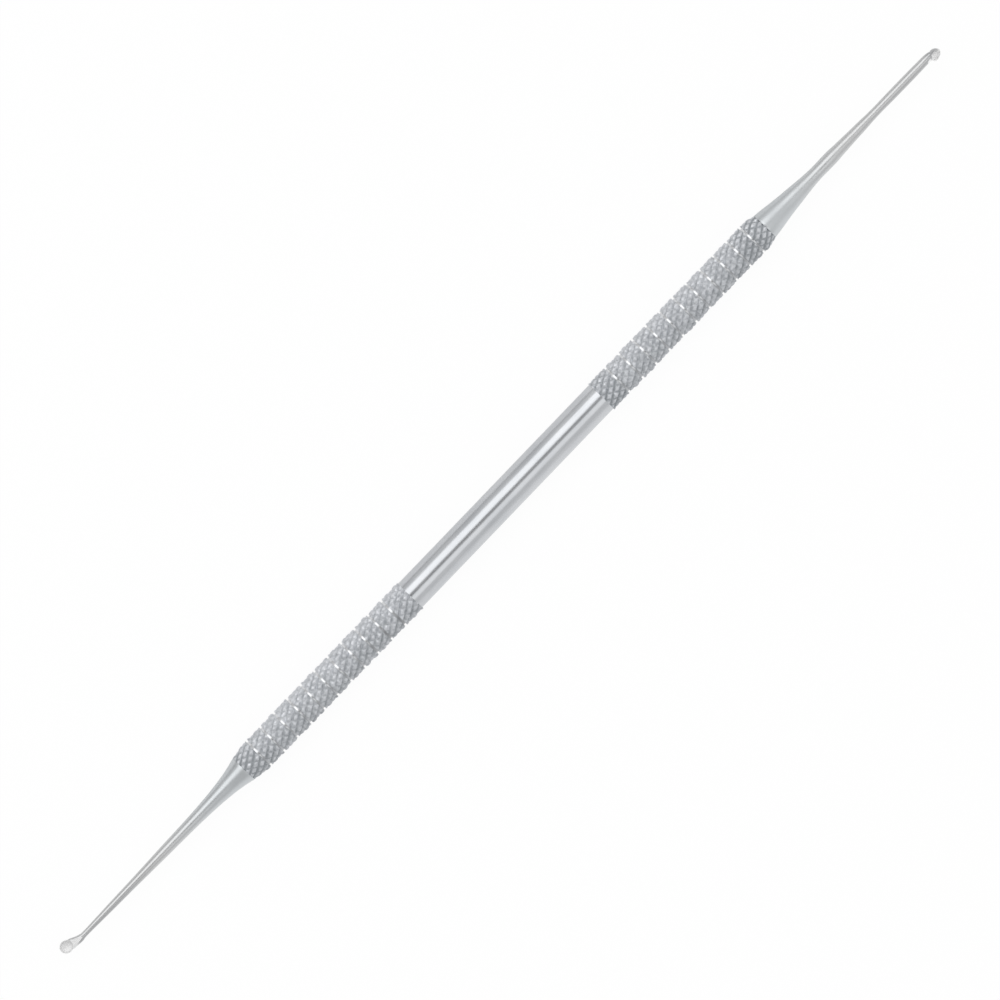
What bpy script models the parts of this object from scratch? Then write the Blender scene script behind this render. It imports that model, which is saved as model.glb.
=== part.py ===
"""Double-ended pedicure curette: a knurled steel handle with a working end brazed into a bore at each end.

One end is a shallow spoon at -X that opens upwards, and the other a deeper scoop at +X that opens sideways.
The long axis lies along X, +Z is up, and the tool lies on its two grips at z = 0.
"""

import math

import bmesh
import bpy
from mathutils import Vector

MM = 0.001

# Lengths along the tool, from the spoon's tip to the scoop's tip
SPOON_END_REACH = 30.4 * MM
SPOON_GRIP_LENGTH = 28.2 * MM
BAR_LENGTH = 32.4 * MM
SCOOP_GRIP_LENGTH = 27.7 * MM
SCOOP_END_REACH = 29.3 * MM

# Handle: bar stock with two knurled grips. Evenly spaced ring grooves divide each grip, the first near its
# shoulder and the last near its outer end.
BAR_DIAMETER = 4.0 * MM
CREST_DIAMETER = 4.4 * MM
KNURL_DEPTH = 0.32 * MM
KNURL_TEETH = 13
KNURL_AXIAL_PITCH = 1.31 * MM
GROOVE_COUNT = 11
GROOVE_WIDTH = 0.28 * MM
GROOVE_DEPTH = 0.36 * MM
SPOON_FIRST_GROOVE = 2.85 * MM
SPOON_LAST_GROOVE = 2.55 * MM
SCOOP_FIRST_GROOVE = 2.75 * MM
SCOOP_LAST_GROOVE = 2.15 * MM
SHOULDER_LAND = 0.02 * MM
GRIP_END_LAND = 0.01 * MM
GRIP_END_TOOTH_DEPTH = 0.2 * MM
SPOON_GRIP_CHAMFER = 2.3 * MM
SCOOP_GRIP_CHAMFER = 1.3 * MM

# Joint between the handle and a working end: a tang in a blind bore, with a braze ring in the bore's mouth
TANG_DIAMETER = 2.0 * MM
TANG_LENGTH = 10.0 * MM
TANG_CHAMFER = 0.2 * MM
TANG_GAP = 0.03 * MM
SEAT_GAP = 0.02 * MM
BORE_END_ROOM = 0.4 * MM
MOUTH_CHAMFER = 0.4 * MM
BRAZE_GAP = 0.012 * MM
BRAZE_LAND = 0.05 * MM

# Working ends: the shank's outline as shares of its length and of its diameter at the shoulder. The neck
# reaches from the shank's end to the tip, and each shank has a slight set towards the side it is bent to.
SHANK_SHOULDER_DIAMETER = 3.6 * MM
SPOON_NECK_REACH = 3.1 * MM
SPOON_SHANK_SET = 0.03 * MM
SPOON_SHANK_SHARES = (
    (0.0, 1.0),
    (0.039, 0.856),
    (0.09, 0.708),
    (0.142, 0.611),
    (0.193, 0.536),
    (0.245, 0.486),
    (0.296, 0.444),
    (0.396, 0.4),
    (0.502, 0.364),
    (0.605, 0.319),
    (0.708, 0.278),
    (0.811, 0.25),
    (0.914, 0.211),
    (0.97, 0.192),
    (1.0, 0.194),
)
SCOOP_NECK_REACH = 2.2 * MM
SCOOP_SHANK_SET = 0.06 * MM
SCOOP_SHANK_SHARES = (
    (0.0, 1.0),
    (0.037, 0.939),
    (0.089, 0.825),
    (0.141, 0.724),
    (0.193, 0.643),
    (0.245, 0.556),
    (0.297, 0.489),
    (0.336, 0.469),
    (0.375, 0.478),
    (0.419, 0.482),
    (0.458, 0.444),
    (0.505, 0.414),
    (0.557, 0.378),
    (0.61, 0.353),
    (0.66, 0.314),
    (0.714, 0.3),
    (0.79, 0.314),
    (0.896, 0.318),
    (1.0, 0.297),
)

# Spoon: a shallow round bowl that opens upwards. Neck shares are: along the neck, half width as a share of
# the bowl's, and how far the neck reaches under and over its middle as shares of half the bowl's depth.
SPOON_BOWL_LENGTH = 1.68 * MM
SPOON_BOWL_WIDTH = 1.57 * MM
SPOON_BOWL_DEPTH = 0.56 * MM
SPOON_FLOOR = 0.18 * MM
SPOON_RIM = 0.08 * MM
SPOON_BEND_LENGTH = 0.9 * MM
SPOON_BEND_ANGLE = math.radians(15)
SPOON_TURN = math.radians(0)
SPOON_ROLL = math.radians(0)
SPOON_NECK_SHARES = (
    (0.1, 0.53, 1.36, 1.3),
    (0.25, 0.595, 1.31, 1.15),
    (0.4, 0.665, 1.25, 1.04),
    (0.55, 0.75, 1.15, 0.98),
    (0.7, 0.82, 1.02, 0.96),
    (0.85, 0.82, 0.82, 0.8),
    (1.0, 0.7, 0.6, 0.6),
)

# Scoop: a deeper round bowl, rolled over to open sideways, and turned a little to face outwards too
SCOOP_BOWL_LENGTH = 1.52 * MM
SCOOP_BOWL_WIDTH = 1.66 * MM
SCOOP_BOWL_DEPTH = 0.95 * MM
SCOOP_FLOOR = 0.18 * MM
SCOOP_RIM = 0.08 * MM
SCOOP_BEND_LENGTH = 0.9 * MM
SCOOP_BEND_ANGLE = math.radians(10)
SCOOP_TURN = math.radians(30)
SCOOP_ROLL = math.radians(58)
SCOOP_NECK_SHARES = (
    (0.12, 0.65, 1.12, 1.09),
    (0.28, 0.655, 1.09, 1.02),
    (0.42, 0.67, 1.06, 0.98),
    (0.56, 0.69, 1.01, 0.94),
    (0.7, 0.7, 0.94, 0.88),
    (0.85, 0.69, 0.82, 0.8),
    (1.0, 0.62, 0.6, 0.6),
)

# Colours and finish
HANDLE_COLOR = (0.60, 0.61, 0.63)
WORKING_END_COLOR = (0.64, 0.65, 0.66)
BRAZE_COLOR = (0.72, 0.69, 0.58)
HANDLE_ROUGHNESS = 0.32
WORKING_END_ROUGHNESS = 0.28
BRAZE_ROUGHNESS = 0.4

# Facets
SIDES = 2 * KNURL_TEETH
BOWL_STEPS = 6
SMOOTH_ANGLE = math.radians(28)

# Sizes that follow from those above
OVERALL_LENGTH = SPOON_END_REACH + SPOON_GRIP_LENGTH + BAR_LENGTH + SCOOP_GRIP_LENGTH + SCOOP_END_REACH
CREST_RADIUS = CREST_DIAMETER / 2
VALLEY_RADIUS = CREST_RADIUS - KNURL_DEPTH
BAR_RADIUS = BAR_DIAMETER / 2
GROOVE_RADIUS = CREST_RADIUS - GROOVE_DEPTH
TANG_RADIUS = TANG_DIAMETER / 2
BORE_RADIUS = TANG_RADIUS + TANG_GAP
MOUTH_RADIUS = BORE_RADIUS + MOUTH_CHAMFER
BORE_DEPTH = TANG_LENGTH + BORE_END_ROOM
SPOON_FACE_X = SPOON_END_REACH - OVERALL_LENGTH / 2
SCOOP_FACE_X = OVERALL_LENGTH / 2 - SCOOP_END_REACH
SPOON_SHANK_LENGTH = SPOON_END_REACH - SPOON_NECK_REACH
SCOOP_SHANK_LENGTH = SCOOP_END_REACH - SCOOP_NECK_REACH
SPOON_SHOULDER_X = SPOON_FACE_X + SPOON_GRIP_LENGTH
SCOOP_SHOULDER_X = SCOOP_FACE_X - SCOOP_GRIP_LENGTH
AXIS_HEIGHT = CREST_RADIUS * math.cos(math.pi / SIDES)


def clear_scene():
    for item in list(bpy.data.objects):
        bpy.data.objects.remove(item, do_unlink=True)


def steel(name, color, roughness):
    material = bpy.data.materials.new(name)
    material.use_nodes = True
    shader = material.node_tree.nodes["Principled BSDF"]
    shader.inputs["Base Color"].default_value = (*color, 1.0)
    shader.inputs["Metallic"].default_value = 1.0
    shader.inputs["Roughness"].default_value = roughness
    material.diffuse_color = (*color, 1.0)
    return material


def place(name, mesh, material, parent, location=(0, 0, 0), turn=0.0):
    """A shaded object for a mesh, at a place on the tool's axis and turned about Z."""
    mesh.shade_smooth()
    mesh.set_sharp_from_angle(angle=SMOOTH_ANGLE)
    piece = bpy.data.objects.new(name, mesh)
    bpy.context.scene.collection.objects.link(piece)
    piece.data.materials.append(material)
    piece.parent = parent
    piece.location = location
    piece.rotation_euler = (0, 0, turn)
    return piece


def side_angle(side):
    """Angle of a facet's corner about X, from Y, with a facet squarely underneath."""
    return (side + 0.5) * 2 * math.pi / SIDES - math.pi / 2


def circle(x, radii):
    """A ring of corners about the X axis, with one radius or a radius for each corner."""
    radii = [radii] * SIDES if isinstance(radii, float) else radii
    return [
        Vector((x, radius * math.cos(side_angle(side)), radius * math.sin(side_angle(side))))
        for side, radius in enumerate(radii)
    ]


def skin(name, rings, closed=False):
    """A mesh through a row of rings, capped at both ends, or joined end to end where closed.

    Where a quad isn't flat it is split between the corners that lie nearer the axis, which makes each knurl
    tooth a four-sided pyramid.
    """
    work = bmesh.new()
    rows = [[work.verts.new(point) for point in ring] for ring in rings]
    pairs = list(zip(rows, rows[1:]))
    if closed:
        pairs.append((rows[-1], rows[0]))
    for row, following in pairs:
        for side in range(SIDES):
            after = (side + 1) % SIDES
            low_a, low_b = row[side].co.yz.length, row[after].co.yz.length
            high_a, high_b = following[side].co.yz.length, following[after].co.yz.length
            if low_a + high_b < low_b + high_a:
                work.faces.new((row[side], row[after], following[after]))
                work.faces.new((row[side], following[after], following[side]))
            else:
                work.faces.new((row[side], row[after], following[side]))
                work.faces.new((row[after], following[after], following[side]))
    if not closed:
        work.faces.new(list(reversed(rows[0])))
        work.faces.new(rows[-1])
    bmesh.ops.recalc_face_normals(work, faces=work.faces)
    mesh = bpy.data.meshes.new(name)
    work.to_mesh(mesh)
    work.free()
    return mesh


def knurl_row(column, limit, least):
    """Radii round one column of the knurl: crests at a limit and valleys in turn, none under a least."""
    valley = min(VALLEY_RADIUS, limit - GRIP_END_TOOTH_DEPTH)
    return [max(limit if (column + side) % 2 else valley, least) for side in range(SIDES)]


def grip_rows(length, first_groove, last_groove, chamfer):
    """Distance from the shoulder and radii of each row of a grip, from the shoulder to its outer end."""
    half_pitch = KNURL_AXIAL_PITCH / 2
    end_radius = SHANK_SHOULDER_DIAMETER / 2 + GRIP_END_LAND
    pitch = (length - first_groove - last_groove) / (GROOVE_COUNT - 1)
    grooves = [first_groove + number * pitch for number in range(GROOVE_COUNT)]
    starts = [0.0] + [middle + GROOVE_WIDTH / 2 for middle in grooves]
    stops = [middle - GROOVE_WIDTH / 2 for middle in grooves] + [length]
    rows = []
    for start, stop in zip(starts, stops):
        if start > 0:
            rows.append((start, GROOVE_RADIUS))
        columns = max(1, round((stop - start) / half_pitch))
        first_column = round(start / half_pitch)
        for number in range(columns + 1):
            distance = start + (stop - start) * number / columns
            into_chamfer = max(0.0, distance - (length - chamfer)) / chamfer
            limit = CREST_RADIUS + (end_radius - CREST_RADIUS) * into_chamfer
            least = BAR_RADIUS + SHOULDER_LAND if distance == 0 else 0.0
            rows.append((distance, knurl_row(first_column + number, limit, least)))
        if stop < length:
            rows.append((stop, GROOVE_RADIUS))
    return rows


def bore_rows(face_x, inward):
    """Rings of a blind bore from its bottom to its countersunk mouth; inward is +1 if it runs to +X."""
    return [
        circle(face_x + inward * BORE_DEPTH, BORE_RADIUS),
        circle(face_x + inward * MOUTH_CHAMFER, BORE_RADIUS),
        circle(face_x, MOUTH_RADIUS),
    ]


def handle_mesh():
    spoon_grip = grip_rows(SPOON_GRIP_LENGTH, SPOON_FIRST_GROOVE, SPOON_LAST_GROOVE, SPOON_GRIP_CHAMFER)
    scoop_grip = grip_rows(SCOOP_GRIP_LENGTH, SCOOP_FIRST_GROOVE, SCOOP_LAST_GROOVE, SCOOP_GRIP_CHAMFER)
    rings = bore_rows(SPOON_FACE_X, 1)
    rings += [circle(SPOON_SHOULDER_X - distance, radii) for distance, radii in reversed(spoon_grip)]
    rings += [circle(SPOON_SHOULDER_X, BAR_RADIUS), circle(SCOOP_SHOULDER_X, BAR_RADIUS)]
    rings += [circle(SCOOP_SHOULDER_X + distance, radii) for distance, radii in scoop_grip]
    rings += reversed(bore_rows(SCOOP_FACE_X, -1))
    return skin("handle", rings)


def braze_ring_mesh():
    """A ring that fills the bore's countersunk mouth round the tang, behind the handle's end face."""
    inner = TANG_RADIUS + BRAZE_GAP
    slope_gap = BRAZE_GAP * math.sqrt(2)
    front_radius = MOUTH_RADIUS - BRAZE_GAP - slope_gap
    back_radius = inner + BRAZE_LAND
    back_x = back_radius - MOUTH_RADIUS + slope_gap
    rings = [
        circle(-BRAZE_GAP, inner),
        circle(back_x, inner),
        circle(back_x, back_radius),
        circle(-BRAZE_GAP, front_radius),
    ]
    return skin("braze_ring", rings, closed=True)


class Bowl:
    """A bent neck and the bowl at its end, where X points outwards and the neck bends to -Y.

    The bowl is rolled over towards the side that the neck bends to, and may be turned back from it.
    """

    def __init__(
        self, reach, neck_x, neck_set, length, width, depth, floor, rim, bend_length, bend_angle, turn, roll,
    ):
        self.half_length = length / 2
        self.half_width = width / 2
        self.depth = depth
        self.rise = depth / 2
        self.floor = floor
        self.rim = rim
        self.neck_start = Vector((neck_x, -neck_set, 0))
        self.bend_length = bend_length
        self.bend_angle = bend_angle
        self.bend_radius = bend_length / bend_angle
        self.roll = roll
        self.forward, self.across, self.up = self.axes(bend_angle - turn)
        tip = math.hypot(
            self.half_length * self.forward.x, self.half_width * self.across.x, depth * min(self.up.x, 0)
        )
        root_x = reach - tip - self.rise * self.up.x
        after_bend_x = neck_x + self.bend_radius * math.sin(bend_angle)
        self.neck_length = bend_length + (root_x - after_bend_x) / math.cos(bend_angle)
        self.centre = self.on_neck(self.neck_length) + self.rise * self.up

    def axes(self, bend):
        """Forward, across and up at a bend in the XY plane, rolled about the forward axis towards -Y."""
        forward = Vector((math.cos(bend), -math.sin(bend), 0))
        level = Vector((math.sin(bend), math.cos(bend), 0))
        upright = Vector((0, 0, 1))
        across = math.cos(self.roll) * level + math.sin(self.roll) * upright
        up = math.cos(self.roll) * upright - math.sin(self.roll) * level
        return forward, across, up

    def bend_at(self, distance):
        return self.bend_angle * min(distance / self.bend_length, 1.0)

    def on_neck(self, distance):
        """A point on the neck's centre line, at a distance from where its bend starts."""
        bend = self.bend_at(distance)
        past = max(distance - self.bend_length, 0.0)
        along = self.bend_radius * math.sin(bend) + past * math.cos(bend)
        aside = self.bend_radius * (1 - math.cos(bend)) + past * math.sin(bend)
        return self.neck_start + Vector((along, -aside, 0))

    def neck_ring(self, along_share, width_share, under_share, over_share):
        """A ring of the neck: an ellipse that is ground flat on top, level with the bowl's rim."""
        distance = along_share * self.neck_length
        _, across, up = self.axes(self.bend_at(distance))
        middle = self.on_neck(distance)
        ring = []
        for side in range(SIDES):
            angle = side_angle(side) - self.roll
            height = min(under_share * math.sin(angle), over_share) * self.rise
            ring.append(middle + width_share * self.half_width * math.cos(angle) * across + height * up)
        return ring

    def bowl_ring(self, inset, sunk, angle):
        """A ring of the bowl, inset from its outside and sunk under its rim, at an angle up from its foot."""
        centre = self.centre - sunk * self.up
        ring = []
        for side in range(SIDES):
            around = 2 * math.pi * side / SIDES
            forward = (self.half_length - inset) * math.sin(angle) * math.cos(around)
            across = (self.half_width - inset) * math.sin(angle) * math.sin(around)
            ring.append(centre + forward * self.forward + across * self.across)
        return ring

    def outside(self, name):
        """The bowl as a solid, cut off flat at its rim."""
        angles = [math.pi / 2 * step / BOWL_STEPS for step in range(1, BOWL_STEPS + 1)]
        rings = [self.bowl_ring(0.0, self.depth * math.cos(angle), angle) for angle in angles]
        return closed_bowl(name, rings, self.centre - self.depth * self.up)

    def hollow(self, name):
        """The dished space inside the bowl, which goes on over the rim so that it cuts right through it."""
        depth = self.depth - self.floor
        angles = [math.pi / 2 * step / BOWL_STEPS for step in range(1, 2 * BOWL_STEPS)]
        sunk = [depth * math.cos(angle) * abs(math.cos(angle)) for angle in angles]
        rings = [self.bowl_ring(self.rim, *ring) for ring in zip(sunk, angles)]
        return closed_bowl(name, rings, self.centre - depth * self.up)


def closed_bowl(name, rings, lowest):
    """A mesh from a bowl's lowest point up through its rings, capped flat on the last one."""
    work = bmesh.new()
    foot = work.verts.new(lowest)
    rows = [[work.verts.new(point) for point in ring] for ring in rings]
    for side in range(SIDES):
        after = (side + 1) % SIDES
        work.faces.new((foot, rows[0][side], rows[0][after]))
        for row, following in zip(rows, rows[1:]):
            work.faces.new((row[side], following[side], following[after], row[after]))
    work.faces.new(rows[-1])
    bmesh.ops.recalc_face_normals(work, faces=work.faces)
    mesh = bpy.data.meshes.new(name)
    work.to_mesh(mesh)
    work.free()
    return mesh


def guide(name, mesh, parent, turn, location):
    """A hidden shape that a Boolean joins to its piece or cuts from it."""
    item = bpy.data.objects.new(name, mesh)
    bpy.context.scene.collection.objects.link(item)
    item.parent = parent
    item.location = location
    item.rotation_euler = (0, 0, turn)
    item.hide_render = True
    item.display_type = "WIRE"
    return item


def combine(piece, other, operation):
    modifier = piece.modifiers.new(f"{operation.lower()} {other.name}", "BOOLEAN")
    modifier.operation = operation
    modifier.solver = "EXACT"
    modifier.object = other


def shank_ring(bowl, shank_length, along_share, across_share):
    """A ring of the shank, moved aside by its share of the shank's set."""
    distance = SEAT_GAP + along_share * (shank_length - SEAT_GAP)
    ring = circle(distance, across_share * SHANK_SHOULDER_DIAMETER / 2)
    aside = bowl.neck_start.y * along_share ** 2
    return [point + Vector((0, aside, 0)) for point in ring]


def working_end(name, shank_length, shank_shares, neck_shares, bowl, material, parent, face_x, turn):
    """A working end: tang, shoulder, shank and neck in one skin, then the bowl joined on and hollowed."""
    rings = [
        circle(-TANG_LENGTH, TANG_RADIUS - TANG_CHAMFER),
        circle(TANG_CHAMFER - TANG_LENGTH, TANG_RADIUS),
        circle(SEAT_GAP, TANG_RADIUS),
    ]
    rings += [shank_ring(bowl, shank_length, *shares) for shares in shank_shares]
    rings += [bowl.neck_ring(*shares) for shares in neck_shares]
    where = (face_x, 0, 0)
    piece = place(name, skin(name, rings), material, parent, where, turn)
    outside = guide(f"{name}_outside", bowl.outside(f"{name}_outside"), parent, turn, where)
    hollow = guide(f"{name}_hollow", bowl.hollow(f"{name}_hollow"), parent, turn, where)
    combine(piece, outside, "UNION")
    combine(piece, hollow, "DIFFERENCE")
    return piece


def build():
    clear_scene()
    axis = bpy.data.objects.new("tool_axis", None)
    bpy.context.scene.collection.objects.link(axis)
    axis.location = (0, 0, AXIS_HEIGHT)

    handle_steel = steel("handle_steel", HANDLE_COLOR, HANDLE_ROUGHNESS)
    spoon_steel = steel("spoon_end_steel", WORKING_END_COLOR, WORKING_END_ROUGHNESS)
    scoop_steel = steel("scoop_end_steel", WORKING_END_COLOR, WORKING_END_ROUGHNESS)
    spoon_braze = steel("spoon_end_braze", BRAZE_COLOR, BRAZE_ROUGHNESS)
    scoop_braze = steel("scoop_end_braze", BRAZE_COLOR, BRAZE_ROUGHNESS)

    spoon = Bowl(
        SPOON_END_REACH, SPOON_SHANK_LENGTH, SPOON_SHANK_SET, SPOON_BOWL_LENGTH, SPOON_BOWL_WIDTH,
        SPOON_BOWL_DEPTH, SPOON_FLOOR, SPOON_RIM, SPOON_BEND_LENGTH, SPOON_BEND_ANGLE, SPOON_TURN, SPOON_ROLL,
    )
    scoop = Bowl(
        SCOOP_END_REACH, SCOOP_SHANK_LENGTH, SCOOP_SHANK_SET, SCOOP_BOWL_LENGTH, SCOOP_BOWL_WIDTH,
        SCOOP_BOWL_DEPTH, SCOOP_FLOOR, SCOOP_RIM, SCOOP_BEND_LENGTH, SCOOP_BEND_ANGLE, SCOOP_TURN, SCOOP_ROLL,
    )

    place("handle", handle_mesh(), handle_steel, axis)
    working_end(
        "working_end_spoon", SPOON_SHANK_LENGTH, SPOON_SHANK_SHARES, SPOON_NECK_SHARES, spoon,
        spoon_steel, axis, SPOON_FACE_X, math.pi,
    )
    working_end(
        "working_end_scoop", SCOOP_SHANK_LENGTH, SCOOP_SHANK_SHARES, SCOOP_NECK_SHARES, scoop,
        scoop_steel, axis, SCOOP_FACE_X, 0.0,
    )
    place("braze_ring_spoon", braze_ring_mesh(), spoon_braze, axis, (SPOON_FACE_X, 0, 0), math.pi)
    place("braze_ring_scoop", braze_ring_mesh(), scoop_braze, axis, (SCOOP_FACE_X, 0, 0), 0.0)


build()
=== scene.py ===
import math

import bmesh
import bpy
import numpy as np
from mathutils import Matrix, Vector


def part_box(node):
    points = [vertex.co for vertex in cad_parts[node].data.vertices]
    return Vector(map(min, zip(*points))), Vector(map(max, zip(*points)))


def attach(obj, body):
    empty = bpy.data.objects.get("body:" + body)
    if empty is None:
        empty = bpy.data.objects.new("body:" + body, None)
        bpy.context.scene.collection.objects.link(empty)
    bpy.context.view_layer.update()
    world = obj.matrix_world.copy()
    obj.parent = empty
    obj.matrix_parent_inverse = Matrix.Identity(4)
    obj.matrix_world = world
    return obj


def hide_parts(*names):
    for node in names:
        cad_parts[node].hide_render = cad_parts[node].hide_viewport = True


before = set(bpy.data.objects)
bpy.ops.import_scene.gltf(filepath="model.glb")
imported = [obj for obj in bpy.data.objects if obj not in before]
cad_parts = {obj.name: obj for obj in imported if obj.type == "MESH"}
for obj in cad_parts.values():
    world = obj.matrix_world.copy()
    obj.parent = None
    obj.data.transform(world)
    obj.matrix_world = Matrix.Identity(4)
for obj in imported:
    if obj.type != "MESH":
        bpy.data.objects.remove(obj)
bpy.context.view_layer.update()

# Every length is in metres, and MM turns a maker's millimetres into them
MM = 0.001

# Places that the frame gives: the handle's two end faces and the height of the tool's long axis
handle_low, handle_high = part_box("handle")
SPOON_FACE_X = handle_low.x
SCOOP_FACE_X = handle_high.x
AXIS_HEIGHT = (handle_low.z + handle_high.z) / 2

# Handle
SPOON_GRIP_LENGTH = 28.2 * MM
SPOON_FIRST_GROOVE = 2.85 * MM
SPOON_LAST_GROOVE = 2.55 * MM
SPOON_GRIP_CHAMFER = 2.3 * MM
SCOOP_GRIP_LENGTH = 27.7 * MM
SCOOP_FIRST_GROOVE = 2.75 * MM
SCOOP_LAST_GROOVE = 2.15 * MM
SCOOP_GRIP_CHAMFER = 1.3 * MM
BAR_RADIUS = 2.0 * MM
CREST_RADIUS = 2.2 * MM
KNURL_DEPTH = 0.32 * MM
KNURL_TEETH = 13
KNURL_PITCH = 1.31 * MM
GRIP_END_RADIUS = 1.81 * MM
GRIP_END_TOOTH_DEPTH = 0.2 * MM
GROOVE_COUNT = 11
GROOVE_WIDTH = 0.28 * MM
GROOVE_RADIUS = 1.84 * MM
GROOVE_FILLET = 0.018 * MM
COLLAR_ROUNDING = 0.35 * MM
COLLAR_DROP = 0.07 * MM
BORE_RADIUS = 1.03 * MM
BORE_DEPTH = 10.4 * MM
MOUTH_CHAMFER = 0.4 * MM

# Working ends
TANG_RADIUS = 1.0 * MM
TANG_LENGTH = 10.0 * MM
TANG_CHAMFER = 0.2 * MM
SHOULDER_RADIUS = 1.8 * MM
SHOULDER_ROUNDING = 0.03 * MM
SEAT_GAP = 0.004 * MM
BEND_LENGTH = 0.9 * MM
BOWL_FLOOR = 0.18 * MM
BOWL_RIM = 0.08 * MM

# The knurl's valleys and worn crests, as shares of the way from a valley to a crest. The second of the two
# crossing rows of valleys is pressed in less deeply than the first. Chance lowers each tooth by up to the
# unevenness, a share of its height.
VALLEY_WIDTH = 0.08
CREST_WIDTH = 0.3
SECOND_ROW_DEPTH = 0.7
KNURL_UNEVENNESS = 0.4
KNURL_SEED = 5.0

# Strips of the handle's skin by their finish
STRIP_FINISHES = ("Bar Finish", "Knurl Finish", "Groove Finish")
BAR_STRIP, KNURL_STRIP, GROOVE_STRIP = range(3)

# Facets of the fine meshes. A shank's rings start at a share of its length, just past its shoulder's
# rounding. A neck is ground flat over a fixed number of its sides, and the flat reaches its full width within
# a share of the neck's length.
CELL_SPLITS = 6
HANDLE_SIDES = 2 * KNURL_TEETH * CELL_SPLITS
FIRST_CORNER = math.pi / (2 * KNURL_TEETH) - math.pi / 2
SHANK_SIDES = 96
SHANK_STEPS = 90
SHANK_START = 0.0012
NECK_STEPS = 26
FLAT_SIDES = 8
FLAT_SETTLE = 0.1
BOWL_STEPS = 18
RIM_STEPS = 8
SMOOTH_ANGLE = math.radians(30)
BAR_MERGE = 0.0005 * MM
END_MERGE = 0.0002 * MM

# Points of a groove's fillet: how far in from the wall, and how far above the floor, as shares of its size
FILLET_POINTS = ((1 / 3, 1.0), (1.0, 0.25), (2.0, 0.0))

# Depth of the bump that the finishes give to fine lines and to coarser grain
FINE_RELIEF = 0.003 * MM
COARSE_RELIEF = 0.02 * MM

# Studio. The camera's turn is in degrees and its sensor in millimetres.
CAMERA_HEIGHT = 0.9
CAMERA_SHIFT = 0.17 * MM
CAMERA_TURN = -46.14
SENSOR_WIDTH = 36
FRAME_WIDTH = 117.57 * MM
LAMP_DISTANCE = 0.6
FLOOR_HALF = 1.5
FLOOR_DROP = 0.02 * MM


class Wire:
    """One output of a node. Arithmetic on it adds Math nodes to its tree."""

    def __init__(self, bench, socket):
        self.bench = bench
        self.socket = socket

    def __add__(self, other):
        return self.bench.math("ADD", self, other)

    def __sub__(self, other):
        return self.bench.math("SUBTRACT", self, other)

    def __mul__(self, other):
        return self.bench.math("MULTIPLY", self, other)

    def __truediv__(self, other):
        return self.bench.math("DIVIDE", self, other)

    def __radd__(self, other):
        return self.bench.math("ADD", other, self)

    def __rsub__(self, other):
        return self.bench.math("SUBTRACT", other, self)

    def output(self, name):
        """Another output of the same node."""
        return Wire(self.bench, self.socket.node.outputs[name])


class Bench:
    """Adds nodes to one tree and wires them up."""

    def __init__(self, tree):
        self.tree = tree

    def node(self, kind, settings=None, sockets=None, out=0):
        """A node by its type, with its settings set first and then the values or wires of its sockets."""
        made = self.tree.nodes.new(kind)
        for name, value in (settings or {}).items():
            setattr(made, name, value)
        for key, value in (sockets or {}).items():
            self.feed(made.inputs[key], value)
        return Wire(self, made.outputs[out]) if made.outputs else made

    def feed(self, socket, value):
        if isinstance(value, Wire):
            self.tree.links.new(value.socket, socket)
        else:
            socket.default_value = value

    def math(self, operation, *values):
        return self.node("ShaderNodeMath", {"operation": operation}, dict(enumerate(values)))

    def clamp(self, value):
        return self.node("ShaderNodeClamp", {}, {"Value": value, "Min": 0.0, "Max": 1.0})

    def ramp(self, value, low, high):
        """0 at low and 1 at high, and level past each, with a soft start and end. Low may be the larger."""
        settings = {"interpolation_type": "SMOOTHSTEP"}
        return self.node("ShaderNodeMapRange", settings, {"Value": value, "From Min": low, "From Max": high})

    def mix_color(self, share, first, second):
        settings = {"data_type": "RGBA", "clamp_factor": True}
        return self.node("ShaderNodeMix", settings, {0: share, 6: first, 7: second}, out=2)


def finished_mesh(piece):
    """Replaces a piece by the plain mesh that its modifiers make of it."""
    graph = bpy.context.evaluated_depsgraph_get()
    mesh = bpy.data.meshes.new_from_object(piece.evaluated_get(graph))
    piece.modifiers.clear()
    piece.data = mesh
    return piece


def point_outwards(mesh):
    work = bmesh.new()
    work.from_mesh(mesh)
    bmesh.ops.recalc_face_normals(work, faces=work.faces)
    work.to_mesh(mesh)
    work.free()


def add_piece(name, mesh):
    piece = bpy.data.objects.new(name, mesh)
    bpy.context.scene.collection.objects.link(piece)
    return piece


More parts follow.
